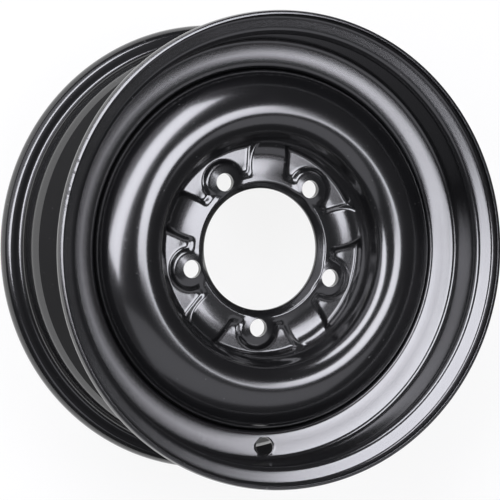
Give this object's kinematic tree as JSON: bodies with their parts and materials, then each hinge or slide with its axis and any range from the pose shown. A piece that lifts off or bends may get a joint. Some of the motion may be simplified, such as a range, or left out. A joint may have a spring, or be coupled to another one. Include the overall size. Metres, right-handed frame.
{
  "type": "steel wheel rim",
  "caption": "Black steel road wheel: a rolled drop-centre rim with curled flanges and a pressed, bowl-shaped disc with raised bolt crowns welded into its well.",
  "frame": {"origin": "centre of the bore, in the plane of the face that bolts to the hub", "axes": "+Z along the wheel's axis to the outboard side, +Y away from the valve hole, +X to the right seen from outboard"},
  "size_m": [0.4148, 0.4146, 0.1808],
  "materials": {
    "rim_paint": "semi-gloss black paint on steel",
    "disc_paint": "semi-gloss black paint on steel",
    "weld_paint": "black paint over weld beads"
  },
  "bodies": {
    "root": {"rim": "rim_paint", "disc": "disc_paint", "weld_runs": "weld_paint"}
  },
  "joints": []
}
